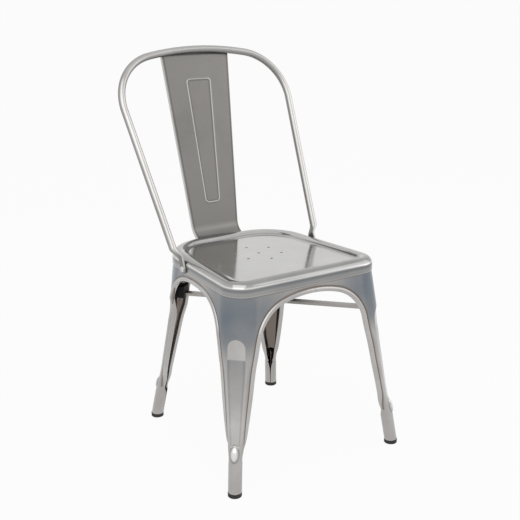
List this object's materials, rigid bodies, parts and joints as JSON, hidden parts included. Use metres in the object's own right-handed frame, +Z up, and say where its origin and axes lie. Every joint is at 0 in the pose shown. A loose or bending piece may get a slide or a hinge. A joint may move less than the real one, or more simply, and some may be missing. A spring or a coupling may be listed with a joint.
{
  "type": "bistro chair",
  "caption": "Stacking sheet-metal bistro chair: dished seat pan, four pressed legs with arched aprons, bent-tube back hoop with a central tapered slat, under-seat cross brace and rubber feet",
  "frame": {"origin": "on the floor, under the middle of the chair's bounding box", "axes": "+Z up; the chair faces -Y; +X is to the right of someone who looks at its front, and the chair is symmetric about X = 0"},
  "size_m": [0.4466, 0.5042, 0.85],
  "materials": {
    "seat_steel": "clear-coated rolled steel, nearly mirror bright",
    "leg_steel": "clear-coated pressed steel, satin to bright",
    "tube_steel": "clear-coated tube, satin",
    "slat_steel": "clear-coated sheet, satin",
    "brace_steel": "clear-coated sheet, satin",
    "fastener_steel": "plated steel",
    "rubber": "matt black rubber"
  },
  "bodies": {
    "root": {"seat_pan": "seat_steel", "front_left_leg": "leg_steel", "front_right_leg": "leg_steel", "rear_left_leg": "leg_steel", "rear_right_leg": "leg_steel", "back_hoop": "tube_steel", "back_slat": "slat_steel", "cross_brace_lower": "brace_steel", "cross_brace_upper": "brace_steel", "bumper_front_right": "rubber", "bumper_front_left": "rubber", "bumper_rear_right": "rubber", "bumper_rear_left": "rubber", "cap_front_right": "rubber", "cap_front_left": "rubber", "cap_rear_right": "rubber", "cap_rear_left": "rubber", "hoop_bolts": "fastener_steel", "hoop_washers": "fastener_steel", "hoop_nuts": "fastener_steel"}
  },
  "joints": []
}
